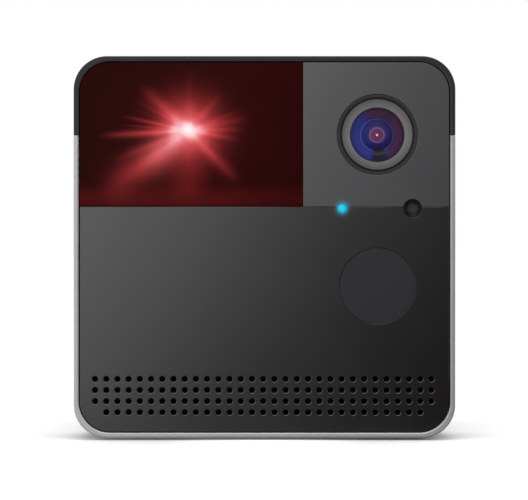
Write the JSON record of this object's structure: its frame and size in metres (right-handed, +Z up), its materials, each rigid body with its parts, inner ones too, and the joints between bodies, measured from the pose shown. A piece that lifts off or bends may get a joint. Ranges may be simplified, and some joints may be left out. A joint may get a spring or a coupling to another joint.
{
  "type": "laser pet camera",
  "caption": "Cube-shaped home camera that watches a pet, talks to it through a speaker grille and plays with it by a steered red laser dot behind a dark window.",
  "frame": {"origin": "middle of the rubber foot's underside, on the surface that the camera stands on", "axes": "+Z up, -Y the way the lens looks, +X to the right as seen from in front"},
  "size_m": [0.076, 0.076, 0.0765],
  "materials": {
    "sleeve_aluminium": "fine matte silver anodising",
    "hood_plastic": "satin dark moulded plastic",
    "face_plastic": "polished black",
    "camera_panel_plastic": "polished very dark grey",
    "laser_window_plastic": "polished dark red filter plastic",
    "night_window_plastic": "infrared clear black plastic",
    "black_plastic": "fine moulded grain",
    "bezel_black": "turned, satin dark grey",
    "lens_glass": "coated, violet and blue",
    "status_light": "clear plastic lit cyan",
    "laser_red": "polished red lens",
    "grille_cloth": "fine black acoustic mesh",
    "foot_rubber": "soft matte rubber",
    "brass": "turned brass",
    "steel": "plated steel",
    "board_laminate": "green solder mask",
    "nylon": "natural gear nylon",
    "cone_paper": "pressed black paper",
    "clear_epoxy": "clear epoxy"
  },
  "bodies": {
    "camera_body": {"body_sleeve": "sleeve_aluminium", "radio_hood": "hood_plastic", "foot_pad": "foot_rubber", "tripod_insert": "brass", "front_panel": "face_plastic", "camera_panel": "camera_panel_plastic", "laser_window": "laser_window_plastic", "night_window": "night_window_plastic", "front_frame": "black_plastic", "grille_cloth": "grille_cloth", "microphone": "steel", "laser_housing": "black_plastic", "pan_pivot_cap": "steel", "pan_motor": "steel", "lens_bezel": "bezel_black", "lens_barrel": "black_plastic", "lens_front_glass": "lens_glass", "lens_holder": "black_plastic", "camera_board": "board_laminate", "image_sensor": "lens_glass", "night_board": "board_laminate", "night_led_1": "clear_epoxy", "night_led_2": "clear_epoxy", "night_led_3": "clear_epoxy", "night_led_4": "clear_epoxy", "status_light_pipe": "status_light", "light_sensor_window": "night_window_plastic", "indicator_board": "board_laminate", "status_led": "status_light", "light_sensor": "clear_epoxy", "chassis": "black_plastic", "frame_screw_1": "steel", "frame_screw_2": "steel", "rear_screw_1": "steel", "rear_screw_2": "steel", "rear_screw_3": "steel", "rear_screw_4": "steel", "main_board": "board_laminate", "processor_shield": "steel", "radio_module": "steel", "antenna_strip": "brass", "speaker_box": "black_plastic", "speaker_basket": "black_plastic", "speaker_cone": "cone_paper", "speaker_magnet": "steel", "rear_cover": "black_plastic", "power_board": "board_laminate", "power_socket": "steel", "pairing_switch": "black_plastic"},
    "pan_yoke_unit": {"pan_yoke": "nylon", "tilt_motor": "steel"},
    "laser_unit": {"laser_carriage": "black_plastic", "laser_barrel": "brass", "laser_lens": "laser_red", "tilt_gear": "nylon"},
    "pan_pinion_unit": {"pan_pinion": "brass"},
    "tilt_pinion_unit": {"tilt_pinion": "brass"},
    "filter_unit": {"ir_filter_shuttle": "lens_glass"},
    "button_unit": {"pairing_button": "hood_plastic"}
  },
  "joints": [
    {"name": "laser_pan", "type": "hinge", "parent": "camera_body", "child": "pan_yoke_unit", "pos_m": [-0.0152, -0.01964, 0.0491], "axis": [0, 0, 1], "range_deg": [-35, 35]},
    {"name": "laser_tilt", "type": "hinge", "parent": "pan_yoke_unit", "child": "laser_unit", "pos_m": [-0.0152, -0.01964, 0.06143], "axis": [1, 0, 0], "range_deg": [-15, 35]},
    {"name": "pan_pinion_spin", "type": "hinge", "parent": "camera_body", "child": "pan_pinion_unit", "pos_m": [-0.0152, -0.00724, 0.0491], "axis": [0, 0, 1], "range_deg": [-165, 165]},
    {"name": "tilt_pinion_spin", "type": "hinge", "parent": "pan_yoke_unit", "child": "tilt_pinion_unit", "pos_m": [-0.0053, -0.01204, 0.06143], "axis": [1, 0, 0], "range_deg": [-90, 47]},
    {"name": "filter_slide", "type": "slide", "parent": "camera_body", "child": "filter_unit", "axis": [1, 0, 0], "range_m": [0, 0.005]},
    {"name": "pairing_press", "type": "slide", "parent": "camera_body", "child": "button_unit", "axis": [0, -1, 0], "range_m": [0, 0.0006], "stiffness_N_per_m": 300, "springref_m": -0.0005}
  ],
  "couplings": [
    {"joint": "pan_pinion_spin", "follows": "laser_pan", "ratio": -4.1667},
    {"joint": "tilt_pinion_spin", "follows": "laser_tilt", "ratio": -2.1667}
  ]
}
